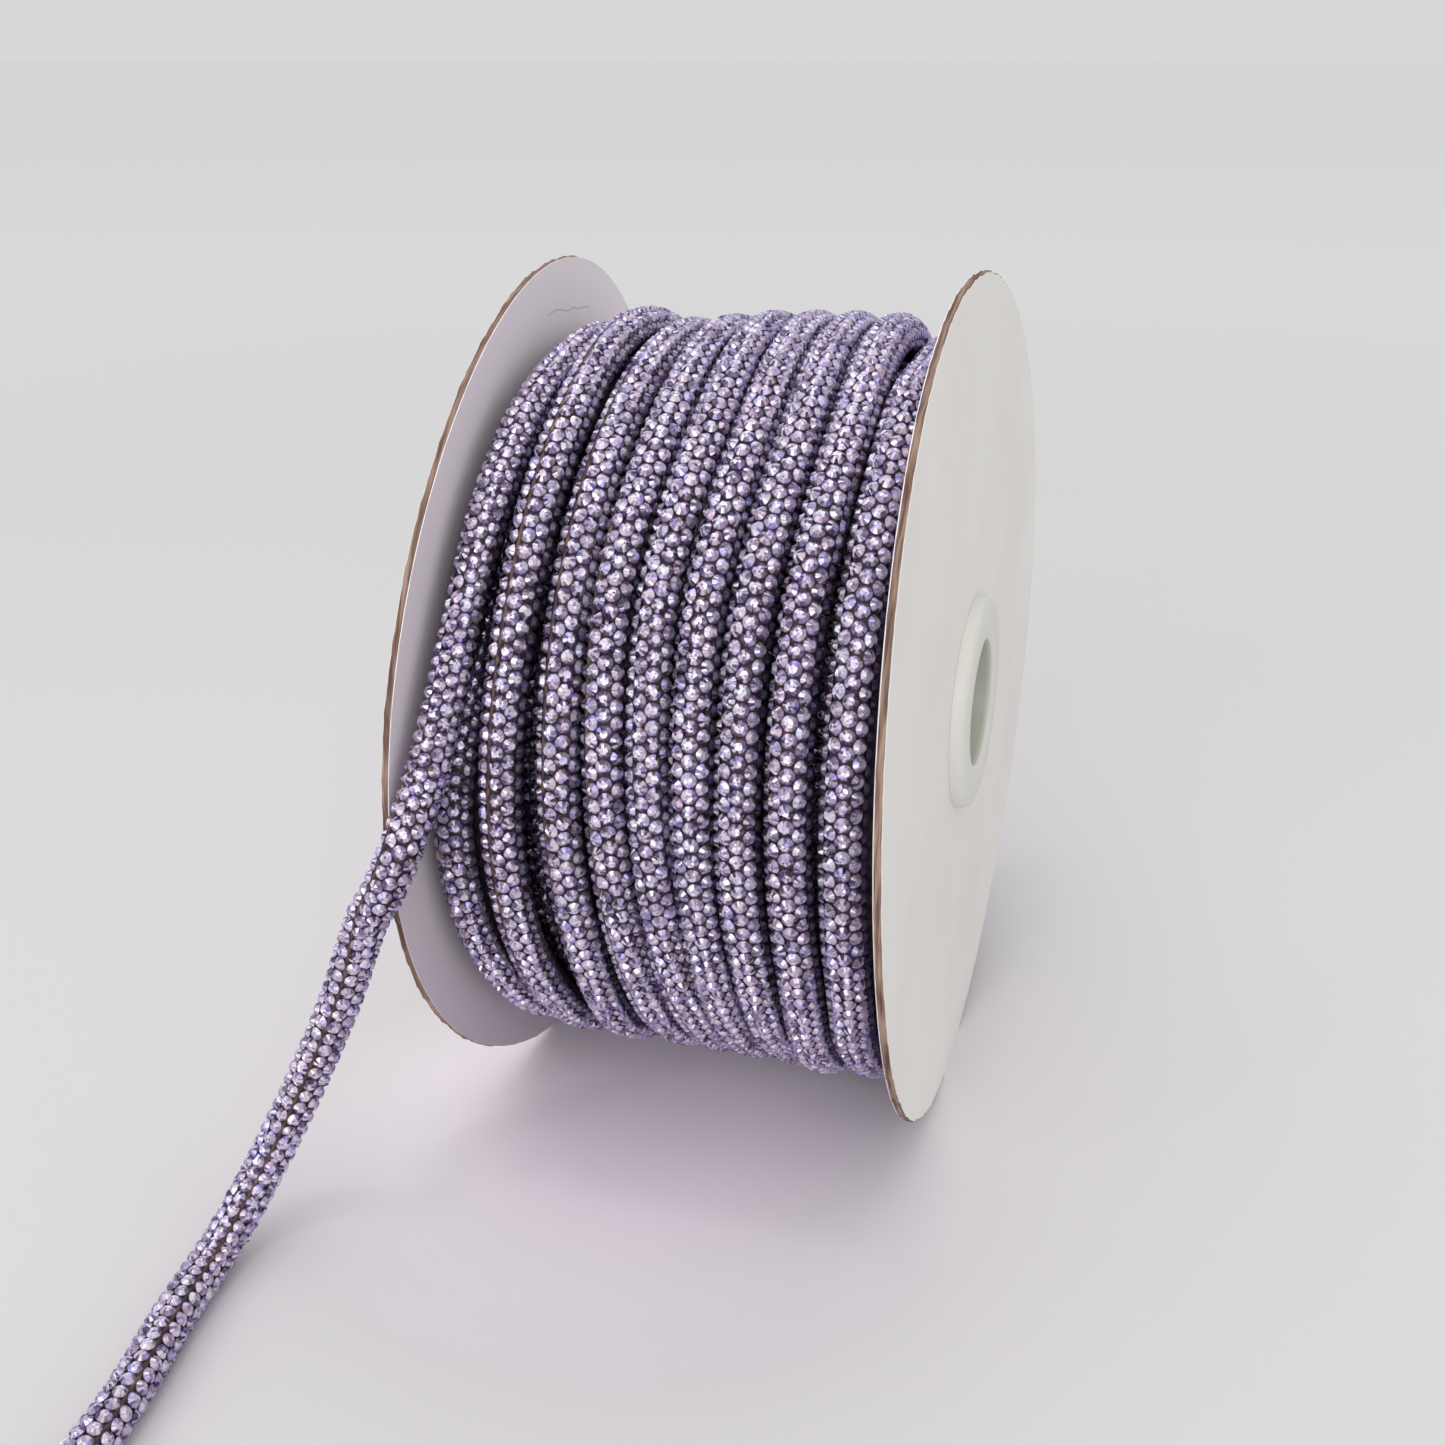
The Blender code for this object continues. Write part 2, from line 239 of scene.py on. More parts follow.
def crystal(name, painted_shade_level=0.0):
    """Foil-backed cut glass: each small facet leans its own way, and its reflection is painted into the
    base colour.
    """
    made, tree, shader = new_material(name, 0.27, metallic=0.8, ior=1.6)
    place = add(tree, "ShaderNodeAttribute", {"attribute_name": "stone_place"})
    seed = add(tree, "ShaderNodeAttribute", {"attribute_name": "stone_seed"})
    part = add(tree, "ShaderNodeSeparateXYZ", inputs={"Vector": place.outputs["Vector"]})
    angle = add(tree, "ShaderNodeMath", {"operation": "ARCTAN2"},
                {0: part.outputs["Y"], 1: part.outputs["X"]})
    reach = add(tree, "ShaderNodeVectorMath", {"operation": "LENGTH"}, {0: place.outputs["Vector"]})
    ring = add(tree, "ShaderNodeMath", {"operation": "GREATER_THAN"},
               {0: reach.outputs["Value"], 1: 0.42})
    cuts = add(tree, "ShaderNodeMath", {"operation": "MULTIPLY_ADD"},
               {0: ring.outputs[0], 1: 5.0, 2: 6.0})
    turn = add(tree, "ShaderNodeMath", {"operation": "MULTIPLY"},
               {0: angle.outputs[0], 1: cuts.outputs[0]})
    sector = add(tree, "ShaderNodeMath", {"operation": "MULTIPLY_ADD"},
                 {0: turn.outputs[0], 1: 1 / (2 * math.pi), 2: seed.outputs["Fac"]})
    sector = add(tree, "ShaderNodeMath", {"operation": "FLOOR"}, {0: sector.outputs[0]})
    cell = add(tree, "ShaderNodeCombineXYZ",
               inputs={"X": sector.outputs[0], "Y": ring.outputs[0], "Z": seed.outputs["Fac"]})
    glint = add(tree, "ShaderNodeTexWhiteNoise", {"noise_dimensions": "3D"}, {"Vector": cell.outputs[0]})
    tone = add(tree, "ShaderNodeTexWhiteNoise", {"noise_dimensions": "1D"}, {"W": seed.outputs["Fac"]})
    # The painted shade level darkens a whole copy of the crystal, for stones that lie in shade
    lift = add(tree, "ShaderNodeMath", {"operation": "MULTIPLY_ADD"},
               {0: tone.outputs["Value"], 1: 0.24, 2: 0.11 - painted_shade_level})
    # Painted highlight: the table is painted paler than the crown around it
    pale = add(tree, "ShaderNodeMath", {"operation": "MULTIPLY_ADD"},
               {0: ring.outputs[0], 1: -0.2, 2: lift.outputs[0]})
    glint_level = add(tree, "ShaderNodeMath", {"operation": "ADD", "use_clamp": True},
                      {0: glint.outputs["Value"], 1: pale.outputs[0]})
    # Painted reflection: each facet cell gets a random level, from dark up to white, as its glint
    body = ramp(tree, glint_level.outputs[0], [
        (0.0, "#392D45"), (0.2, "#80738C"), (0.45, "#C8BFCD"), (0.7, "#F0ECF1"), (1.0, "#FFFFFF")])
    # A random tint for each facet cell, part of the painted reflection
    parts = add(tree, "ShaderNodeSeparateXYZ", inputs={"Vector": glint.outputs["Color"]})
    hue = ramp(tree, parts.outputs["Y"], [
        (0.0, "#B4AFF2"), (0.22, "#E6E1F5"), (0.75, "#F8F1F5"), (1.0, "#FCDAE3")])
    body = add(tree, "ShaderNodeMix", {"data_type": "RGBA", "blend_type": "MULTIPLY"},
               {0: 1.0, 6: body, 7: hue})
    # Painted shade darkening each stone towards its rim
    rim = ramp(tree, reach.outputs["Value"], [(0.88, "#FFFFFF"), (0.99, "#6C6178")])
    body = add(tree, "ShaderNodeMix", {"data_type": "RGBA", "blend_type": "MULTIPLY"},
               {0: 1.0, 6: body.outputs[2], 7: rim})
    # Painted shade between the turns, from the stone_shade attribute
    shade = add(tree, "ShaderNodeAttribute", {"attribute_name": "stone_shade"})
    body = add(tree, "ShaderNodeMix", {"data_type": "RGBA"},
               {0: shade.outputs["Fac"], 6: body.outputs[2], 7: linear("#241C30")})
    tree.links.new(body.outputs[2], shader.inputs["Base Color"])
    facing = add(tree, "ShaderNodeNewGeometry")
    lean = add(tree, "ShaderNodeVectorMath", {"operation": "SUBTRACT"},
               {0: glint.outputs["Color"], 1: (0.5, 0.5, 0.5)})
    lean = add(tree, "ShaderNodeVectorMath", {"operation": "MULTIPLY_ADD"},
               {0: lean.outputs[0], 1: (0.7, 0.7, 0.7), 2: facing.outputs["Normal"]})
    lean = add(tree, "ShaderNodeVectorMath", {"operation": "NORMALIZE"}, {0: lean.outputs[0]})
    tree.links.new(lean.outputs[0], shader.inputs["Normal"])
    shader.inputs["Specular Tint"].default_value = linear("#BDB6FF")
    # The coat fades under the painted shade, so the shaded stones lose their shine as well
    shine = add(tree, "ShaderNodeMath", {"operation": "MULTIPLY_ADD", "use_clamp": True},
                {0: shade.outputs["Fac"], 1: -0.35, 2: 0.3})
    tree.links.new(shine.outputs[0], shader.inputs["Coat Weight"])
    shader.inputs["Coat Roughness"].default_value = 0.08
    return made


def net_cloth():
    """Dark polyester net tube, seen only as shade between the stones."""
    made, tree, shader = new_material("dark_polyester_net", 0.75)
    spot = add(tree, "ShaderNodeTexCoord").outputs["Object"]
    noise = add(tree, "ShaderNodeTexNoise", inputs={"Vector": spot, "Scale": 900.0, "Detail": 3.0})
    tree.links.new(ramp(tree, noise.outputs["Fac"], [(0.3, "#1C131B"), (0.7, "#5C4A55")]),
                   shader.inputs["Base Color"])
    return made


def seam_thread():
    """Spun polyester sewing thread, golden brown with age and shade."""
    made, tree, shader = new_material("spun_polyester_thread", 0.6)
    spot = add(tree, "ShaderNodeTexCoord").outputs["Object"]
    noise = add(tree, "ShaderNodeTexNoise", inputs={"Vector": spot, "Scale": 700.0, "Detail": 2.0})
    colour = ramp(tree, noise.outputs["Fac"], [(0.4, "#38262E"), (0.6, "#62483F"), (0.74, "#98764C")])
    tree.links.new(colour, shader.inputs["Base Color"])
    return made


def facing_paper():
    """Smooth paper pasted on board: a slight unevenness of tone."""
    made, tree, shader = new_material("white_facing_paper", 0.62)
    spot = add(tree, "ShaderNodeTexCoord").outputs["Object"]
    cloud = add(tree, "ShaderNodeTexNoise", inputs={"Vector": spot, "Scale": 40.0, "Detail": 4.0})
    tree.links.new(ramp(tree, cloud.outputs["Fac"], [(0.3, "#E6E3E0"), (0.7, "#EEECE8")]),
                   shader.inputs["Base Color"])
    return made


def shaded_liner():
    """Grey liner paper, darker and more lilac towards the foot as painted shade and painted bounce from
    the rope, with one crease.
    """
    made, tree, shader = new_material("grey_liner_paper", 0.62)
    spot = add(tree, "ShaderNodeTexCoord").outputs["Object"]
    cloud = add(tree, "ShaderNodeTexNoise", inputs={"Vector": spot, "Scale": 40.0, "Detail": 4.0})
    part = add(tree, "ShaderNodeSeparateXYZ", inputs={"Vector": spot})
    height = add(tree, "ShaderNodeMath", {"operation": "MULTIPLY_ADD"},
                 {0: cloud.outputs["Fac"], 1: 0.06, 2: -0.03})
    height = add(tree, "ShaderNodeMath", {"operation": "MULTIPLY_ADD"},
                 {0: part.outputs["Z"], 1: 1 / (2 * AXIS_HEIGHT * MM), 2: height.outputs[0]})
    # Painted shade and bounce: darker and lilac low down, paler high up
    colour = ramp(tree, height.outputs[0], [(0.1, "#D2C8D2"), (0.5, "#E4DCE2"), (0.9, "#F7F0F4")])
    wander = add(tree, "ShaderNodeTexNoise", inputs={"Vector": spot, "Scale": 260.0, "Detail": 2.0})
    rise = add(tree, "ShaderNodeMath", {"operation": "MULTIPLY_ADD"},
               {0: wander.outputs["Fac"], 1: CREASE_WANDER, 2: part.outputs["Z"]})
    sink = add(tree, "ShaderNodeMath", {"operation": "MULTIPLY_ADD"},
               {0: part.outputs["Y"], 1: CREASE_SLOPE, 2: rise.outputs[0]})
    # The crease is a thin darker line of painted shade, on the left liner only
    crease = add(tree, "ShaderNodeMath", {"operation": "COMPARE"},
                 {0: sink.outputs[0], 1: CREASE_HEIGHT + CREASE_WANDER / 2, 2: CREASE_WIDTH / 2})
    reach = add(tree, "ShaderNodeMath", {"operation": "COMPARE"},
                {0: part.outputs["Y"], 1: CREASE_MIDDLE, 2: CREASE_LENGTH / 2})
    crease = add(tree, "ShaderNodeMath", {"operation": "MULTIPLY"},
                 {0: crease.outputs[0], 1: reach.outputs[0]})
    left = add(tree, "ShaderNodeMath", {"operation": "LESS_THAN"}, {0: part.outputs["X"], 1: 0.0})
    crease = add(tree, "ShaderNodeMath", {"operation": "MULTIPLY"},
                 {0: crease.outputs[0], 1: left.outputs[0]})
    colour = add(tree, "ShaderNodeMix", {"data_type": "RGBA"},
                 {0: crease.outputs[0], 6: colour, 7: linear(CREASE_SHADE_COLOUR)})
    tree.links.new(colour.outputs[2], shader.inputs["Base Color"])
    return made


def grey_board():
    """Recycled greyboard: a die-cut edge of matted brown fibre in layers."""
    made, tree, shader = new_material("brown_recycled_board", 0.9)
    spot = add(tree, "ShaderNodeTexCoord").outputs["Object"]
    place = add(tree, "ShaderNodeMapping", inputs={"Vector": spot, "Scale": (6.0, 0.3, 0.3)})
    noise = add(tree, "ShaderNodeTexNoise",
                inputs={"Vector": place.outputs[0], "Scale": 500.0, "Detail": 4.0})
    colour = ramp(tree, noise.outputs["Fac"], [(0.35, "#5C4239"), (0.5, "#84695C"), (0.65, "#A48A7B")])
    tree.links.new(colour, shader.inputs["Base Color"])
    return made


def hub_plastic():
    """Injection-moulded polystyrene, satin white, with painted shade making the bore greyer."""
    made, tree, shader = new_material("moulded_white_polystyrene", 0.45)
    spot = add(tree, "ShaderNodeTexCoord").outputs["Object"]
    part = add(tree, "ShaderNodeSeparateXYZ", inputs={"Vector": spot})
    height = add(tree, "ShaderNodeMath", {"operation": "SUBTRACT"},
                 {0: part.outputs["Z"], 1: AXIS_HEIGHT * MM})
    across = add(tree, "ShaderNodeCombineXYZ", inputs={"Y": part.outputs["Y"], "Z": height.outputs[0]})
    radius = add(tree, "ShaderNodeVectorMath", {"operation": "LENGTH"}, {0: across.outputs[0]})
    scaled = add(tree, "ShaderNodeMath", {"operation": "MULTIPLY"},
                 {0: radius.outputs["Value"], 1: 50.0})
    # Painted shade: the bore and its lip are painted greyer
    tree.links.new(ramp(tree, scaled.outputs[0], [(0.43, "#B4B6A8"), (0.455, "#DDDCD5")]),
                   shader.inputs["Base Color"])
    return made


def place_piece(item, slot, *nodes):
    """Rides on the spool and stands for the frame's nodes, which it hides; slot is not used."""
    if item.name not in bpy.context.scene.collection.all_objects:
        bpy.context.collection.objects.link(item)
    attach(item, BODY)
    if nodes:
        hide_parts(*nodes)
    return item


def mesh_object(name, shape, finish, smooth_angle=None):
    """A finished bmesh as an object; its lengths turn from millimetres into metres here."""
    bmesh.ops.scale(shape, vec=(MM, MM, MM), verts=shape.verts)
    mesh = bpy.data.meshes.new(name)
    shape.to_mesh(mesh)
    shape.free()
    mesh.materials.append(finish)
    if smooth_angle is not None:
        mesh.shade_smooth()
        mesh.set_sharp_from_angle(angle=math.radians(smooth_angle))
    return bpy.data.objects.new(name, mesh)


def bump(angle, centre, spread):
    gap = (angle - centre + 180) % 360 - 180
    return np.exp(-(gap / spread) ** 2)


def column(knots, key, fill=0.0):
    return np.array([knot.get(key, fill) for knot in knots], float)


def turn_knots(turn):
    """A turn's knots over the front and on to the back, with the angle of its seam."""
    knots = []
    for key, angle in list(FRONT_ANGLES.items()) + [("back", BACK_ANGLE)]:
        share = np.interp(angle, [-40, 10], [1.0, 0.0])
        seam = turn["seam"] + (turn["seam_under"] - turn["seam"]) * share
        knots.append({"angle": angle, "x": turn[key], "seam": seam})
    return knots


def long_rope_knots():
    """The rope from the right-hand turn round and round to the left, on one rising scale of angle."""
    knots = [dict(knot, seam=-90) for knot in RIGHT_TURN]
    turned = 360
    for turn in reversed(TURNS):
        knots += [dict(knot, angle=knot["angle"] + turned) for knot in turn_knots(turn)]
        turned += 360
    knots += [dict(knot, angle=knot["angle"] + turned, seam=-40) for knot in LEFT_TURN]
    return knots


def lift_at(angle):
    """How far each place on the long rope stands proud, by the turn that it belongs to."""
    lift = np.zeros_like(angle)
    for i, turn in enumerate(reversed(TURNS)):
        start = 360 * (i + 1) - 60
        coming = np.clip((angle - start) / LIFT_FADE, 0, 1)
        leaving = np.clip((start + 360 - angle) / LIFT_FADE, 0, 1)
        own = turn["top_lift"] * bump(angle, TOP_LIFT_ANGLE, TOP_LIFT_SPREAD)
        own = own + turn["under_lift"] * bump(angle, UNDER_LIFT_ANGLE, UNDER_LIFT_SPREAD)
        lift += own * (coming * leaving)
    return lift


def dive_at(angle):
    """The right-hand turn dips under the one that comes over the top beside the flange."""
    return np.interp(angle - 360, column(RIGHT_DIVE, "angle"), column(RIGHT_DIVE, "sink"),
                     left=0, right=0)


def smoothed(values):
    """A running mean that takes the corners off straight interpolation."""
    window = np.ones(2 * SMOOTH_STEPS + 1) / (2 * SMOOTH_STEPS + 1)
    return np.convolve(np.pad(values, SMOOTH_STEPS, mode="edge"), window, mode="valid")


def on_roll(angle, x, sink):
    """Points and outward directions on the roll, in millimetres."""
    turn = np.radians(angle)
    outward = np.stack([np.zeros_like(turn), -np.cos(turn), np.sin(turn)], axis=1)
    radius = (ROPE_LINE_RADIUS - sink)[:, None]
    points = outward * radius
    points[:, 0] = x
    points[:, 2] += AXIS_HEIGHT - WINDING_SAG
    return points, outward


def wound_line(knots, lift=None, dive=None):
    """The centreline of a wound stretch: points, outward directions and seam angles."""
    first, last = knots[0]["angle"], knots[-1]["angle"]
    angle = np.arange(first, last, 1.0)
    x = smoothed(np.interp(angle, column(knots, "angle"), column(knots, "x")))
    sink = smoothed(np.interp(angle, column(knots, "angle"), column(knots, "sink")))
    if lift is not None:
        sink = sink - lift(angle) + dive(angle)
    points, outward = on_roll(angle, x, sink)
    seam = smoothed(np.interp(angle, column(knots, "angle"), column(knots, "seam", -90)))
    return {"points": points, "outward": outward, "seam": seam}


def lower_line():
    """The layer beneath, which climbs the other way and shows only in the gaps."""
    angle = np.arange(0, 360 * LOWER_TURNS, 2.0)
    x = -HALF_GAP + ROPE_RADIUS + 0.5 + TURN_PITCH * angle / 360
    points, outward = on_roll(angle, x, np.full_like(angle, LAYER_DROP))
    return {"points": points, "outward": outward, "seam": np.full_like(angle, 180.0)}


def smooth_route(route, step):
    """Points about a step apart on a Catmull-Rom curve through the route's points."""
    points = np.array(route, float)
    padded = np.vstack([2 * points[0] - points[1], points, 2 * points[-1] - points[-2]])
    dense = []
    for i in range(len(points) - 1):
        before, start, end, after = padded[i:i + 4]
        for part in np.linspace(0, 1, 24, endpoint=False):
            dense.append(0.5 * (2 * start + (end - before) * part
                                + (2 * before - 5 * start + 4 * end - after) * part ** 2
                                + (3 * start - before - 3 * end + after) * part ** 3))
    dense.append(points[-1])
    dense = np.array(dense)
    dense[:, 2] = np.maximum(dense[:, 2], LOOSE_DIAMETER / 2 + 0.05)
    run = run_of(dense)
    places = np.linspace(0, run[-1], int(run[-1] / step) + 1)
    return np.stack([np.interp(places, run, dense[:, k]) for k in range(3)], axis=1)


def run_of(points):
    """Length run along a line of points."""
    return np.concatenate([[0], np.cumsum(np.linalg.norm(np.diff(points, axis=0), axis=1))])


def loose_line():
    """The loose end from where it leaves the roll, its front kept towards the picture."""
    start, outward = on_roll(np.array([31.0]), np.array([LOOSE_TURN[0]["x"]]), np.array([0.0]))
    points = smooth_route([tuple(start[0])] + LOOSE_ROUTE, 1.0)
    along = np.gradient(points, axis=0)
    along /= np.linalg.norm(along, axis=1)[:, None]
    share = np.clip(run_of(points) / LOOSE_FRONT_FROM, 0, 1)[:, None]
    front = outward * (1 - share) + np.array(LOOSE_FRONT.normalized()) * share
    outward = front - along * np.sum(along * front, axis=1)[:, None]
    outward /= np.linalg.norm(outward, axis=1)[:, None]
    seam = np.interp(run_of(points), column(LOOSE_SEAM, "run"), column(LOOSE_SEAM, "seam"))
    return {"points": points, "outward": outward, "seam": seam}


def frames_along(line, step):
    """Evenly spaced places on a line, each with its along, outward and sideways directions."""
    run = run_of(line["points"])
    places = np.arange(0, run[-1], step)

    def at(values):
        return np.stack([np.interp(places, run, values[:, k]) for k in range(3)], axis=1)

    points = at(line["points"])
    along = np.gradient(points, axis=0)
    along /= np.linalg.norm(along, axis=1)[:, None]
    outward = at(line["outward"])
    outward -= along * np.sum(along * outward, axis=1)[:, None]
    outward /= np.linalg.norm(outward, axis=1)[:, None]
    side = np.cross(outward, along)
    side *= np.sign(side[:, :1] + 1e-9)
    seam = np.interp(places, run, line["seam"])
    return {"points": points, "along": along, "outward": outward, "side": side, "seam": seam,
            "run": places}


def in_hollow(points):
    """Which points lie in the hollow at the top right, where the last turn dips."""
    return (points[:, 0] > HOLLOW_FROM) & (points[:, 2] > AXIS_HEIGHT + STIFF_RADIUS)


def stone_places(line, scale, reach, valley=0.0, valley_until=None):
    """Places for the stones that face within reach degrees of outward, in staggered columns.

    Valley is how much painted shade darkens the stones towards the sides, where the next turn closes on
    them.
    With valley_until, only the side towards +X gets it, and only up to that run.
    """
    rows = frames_along(line, STONE_PITCH * scale)
    hollow = in_hollow(rows["points"])
    reach = np.where(hollow, HOLLOW_REACH, reach)
    valley = np.where(hollow, valley * HOLLOW_SHADE, valley)
    over_axis = rows["points"][:, 2] - AXIS_HEIGHT
    valley = valley * np.interp(over_axis, OPEN_TO_LIGHT["height"], OPEN_TO_LIGHT["share"])
    if valley_until is not None:
        valley = valley * np.clip((valley_until - rows["run"]) / VALLEY_FADE, 0, 1)
    made = {"centre": [], "out": [], "along": [], "side": [], "run": [], "shade": []}
    for k in range(STONE_COLUMNS):
        turn = rows["seam"] + SEAM_EXTRA / 2 + COLUMN_STEP * (k + 0.5)
        turn = (turn + 180) % 360 - 180
        keep = np.abs(turn) <= reach
        count = int(keep.sum())
        lean = np.abs(turn[keep]) if valley_until is None else turn[keep]
        made["shade"].append(valley[keep] * np.clip((lean - SHADE_FROM) / SHADE_OVER, 0, 1))
        turn = np.radians(turn[keep] + rng.normal(0, TURN_JITTER, count))[:, None]
        out = np.cos(turn) * rows["outward"][keep] + np.sin(turn) * rows["side"][keep]
        along = rows["along"][keep]
        shift = 0.5 * (k % 2) + rng.normal(0, SHIFT_JITTER, count)
        centre = rows["points"][keep] + along * STONE_PITCH * scale * shift[:, None]
        made["centre"].append(centre + out * GIRDLE_RADIUS * scale)
        made["out"].append(out)
        made["along"].append(along)
        made["side"].append(np.cross(out, along))
        made["run"].append(rows["run"][keep])
    return {key: np.concatenate(value) for key, value in made.items()}


def joined(first, second):
    """Two lines as one, the first ending where the second starts."""
    return {key: np.concatenate([first[key], second[key][1:]]) for key in first}


def backward(line):
    return {key: value[::-1] for key, value in line.items()}


def parted(places, chosen):
    """The places that are chosen and those that are not."""
    return ({key: value[chosen] for key, value in places.items()},
            {key: value[~chosen] for key, value in places.items()})


def stone_shape(sides):
    """One cut stone: a crown of triangles up to a flat table, and a closed back."""
    shape = bmesh.new()
    bmesh.ops.create_cone(shape, cap_ends=True, cap_tris=False, segments=sides, radius1=STONE_RADIUS,
                          radius2=STONE_TABLE, depth=STONE_CROWN)
    upper = [vert for vert in shape.verts if vert.co.z > 0]
    bmesh.ops.rotate(shape, verts=upper, cent=(0, 0, 0),
                     matrix=Matrix.Rotation(math.pi / sides, 3, "Z"))
    bmesh.ops.translate(shape, verts=shape.verts, vec=(0, 0, STONE_CROWN / 2))
    bmesh.ops.triangulate(shape, faces=shape.faces)
    bmesh.ops.recalc_face_normals(shape, faces=shape.faces)
    shape.verts.index_update()
    points = np.array([vert.co for vert in shape.verts])
    faces = np.array([[vert.index for vert in face.verts] for face in shape.faces])
    shape.free()
    return points, faces


def set_stones(name, stone, places, scale, finish):
    """Many copies of a stone as one mesh, each with its own seed and its own place in the stone."""
    points, faces = stone
    count = len(places["centre"])
    spin = rng.uniform(0, 2 * math.pi, count)
    tilt = rng.normal(0, TILT_JITTER, (count, 2))
    out = places["out"] + places["side"] * tilt[:, :1] + places["along"] * tilt[:, 1:]
    out /= np.linalg.norm(out, axis=1)[:, None]
    right = places["side"] * np.cos(spin)[:, None] + places["along"] * np.sin(spin)[:, None]
    right -= out * np.sum(out * right, axis=1)[:, None]
    right /= np.linalg.norm(right, axis=1)[:, None]
    ahead = np.cross(out, right)
    size = scale * rng.normal(1.0, SIZE_JITTER, count)[:, None, None]
    spread = (points[None, :, :1] * right[:, None] + points[None, :, 1:2] * ahead[:, None]
              + points[None, :, 2:] * out[:, None])
    corners = (places["centre"][:, None] + spread * size).reshape(-1, 3) * MM
    triangles = (faces[None] + len(points) * np.arange(count)[:, None, None]).reshape(-1, 3)
    mesh = bpy.data.meshes.new(name)
    mesh.from_pydata(corners.tolist(), [], triangles.tolist())
    in_stone = np.tile(points / STONE_RADIUS * (1, 1, 0), (count, 1)).astype(np.float32)
    place = mesh.attributes.new("stone_place", "FLOAT_VECTOR", "POINT")
    place.data.foreach_set("vector", in_stone.ravel())
    for key, value in (("stone_shade", places["shade"]), ("stone_seed", rng.uniform(0, 100, count))):
        kept = mesh.attributes.new(key, "FLOAT", "POINT")
        kept.data.foreach_set("value", np.repeat(value, len(points)).astype(np.float32))
    mesh.materials.append(finish)
    return place_piece(bpy.data.objects.new(name, mesh), "rhinestone_rope")


def tube(name, lines, radius, step, finish, sides=2):
    """A round tube along each line, from one curve with a bevel."""
    shape = bpy.data.curves.new(name, "CURVE")
    shape.dimensions = "3D"
    shape.bevel_depth = radius * MM
    shape.bevel_resolution = sides
    shape.use_fill_caps = True
    for points in lines:
        run = run_of(points)
        places = np.linspace(0, run[-1], max(2, int(run[-1] / step)))
        spline = shape.splines.new("POLY")
        spline.points.add(len(places) - 1)
        even = [np.interp(places, run, points[:, k]) for k in range(3)]
        even = np.stack(even + [places * 0 + 1 / MM], axis=1)
        spline.points.foreach_set("co", (even * MM).ravel())
    shape.materials.append(finish)
    return bpy.data.objects.new(name, shape)


def as_mesh(item):
    """The same piece with its curve made a mesh."""
    mesh = bpy.data.meshes.new_from_object(item)
    made = bpy.data.objects.new(item.name + "_mesh", mesh)
    name = item.name
    bpy.data.objects.remove(item)
    made.name = name
    return made


def seam_points(line, scale):
    rows = frames_along(line, 1.5)
    turn = np.radians(rows["seam"])[:, None]
    out = np.cos(turn) * rows["outward"] + np.sin(turn) * rows["side"]
    return rows["points"] + out * NET_RADIUS * scale


def warp(angle, radius, bends):
    """How far the thin card leans along X: nothing near the hub, most at the rim."""
    reach = max(0.0, radius - STIFF_RADIUS) / (FLANGE_RADIUS - STIFF_RADIUS)
    lean = bends["tilt_cos"] * math.cos(angle) + bends["tilt_sin"] * math.sin(angle)
    saddle = bends["saddle_cos"] * math.cos(2 * angle) + bends["saddle_sin"] * math.sin(2 * angle)
    return (lean + saddle) * reach ** 1.5


def turned(profile, steps):
    """A closed ring turned about X from a closed outline of (x, radius) points."""
    shape = bmesh.new()
    corners = [shape.verts.new((x, -radius, 0.0)) for x, radius in profile]
    edges = [shape.edges.new((corners[i - 1], corners[i])) for i in range(len(corners))]
    bmesh.ops.spin(shape, geom=corners + edges, cent=(0, 0, 0), axis=(1, 0, 0), angle=2 * math.pi,
                   steps=steps, use_merge=True)
    bmesh.ops.recalc_face_normals(shape, faces=shape.faces)
    return shape


def disc(name, side, inner_x, outer_x, rim, bends, finish, ragged):
    """A thin ring of the flange between two depths, bowed as the card is, flat where it stands."""
    hole = BORE_RADIUS + HUB_WALL + CLEARANCE
    radii = [hole, 20.0, STIFF_RADIUS, 36.0, 42.0, 47.0, 51.0, 54.5, 57.0, rim]
    profile = [(side * inner_x, radius) for radius in radii]
    profile += [(side * outer_x, radius) for radius in reversed(radii)]
    shape = turned(profile, 360)
    for vert in shape.verts:
        radius = math.hypot(vert.co.y, vert.co.z)
        angle = math.atan2(vert.co.z, -vert.co.y)
        vert.co.x += warp(angle, radius, bends)
        if radius > 56.0:
            wear = ragged * sum(math.sin(turns * angle + turns) for turns in (17, 43, 89, 131)) / 2
            vert.co.y *= 1 + wear / radius
            vert.co.z *= 1 + wear / radius
        vert.co.z = max(vert.co.z + AXIS_HEIGHT, 0.0)
    return mesh_object(name, shape, finish, smooth_angle=35)


def flange(side, word, bends, board, paper, liner):
    """Board with a paper facing pasted on the outer face and a liner on the inner one."""
    core = disc(f"flange_{word}_board", side, HALF_GAP + SHEET, OUTER_FACE - SHEET, FLANGE_RADIUS,
                bends, board, RAGGED)
    place_piece(core, "flange_card", f"flange_{word}")
    inner = disc(f"flange_{word}_inner_paper", side, HALF_GAP, HALF_GAP + SHEET, FLANGE_RADIUS,
                 bends, liner, RAGGED_LINER)
    place_piece(inner, "flange_card")
    outer = disc(f"flange_{word}_outer_paper", side, OUTER_FACE - SHEET, OUTER_FACE, FLANGE_RADIUS - 0.15,
                 bends, paper, RAGGED)
    place_piece(outer, "flange_card")


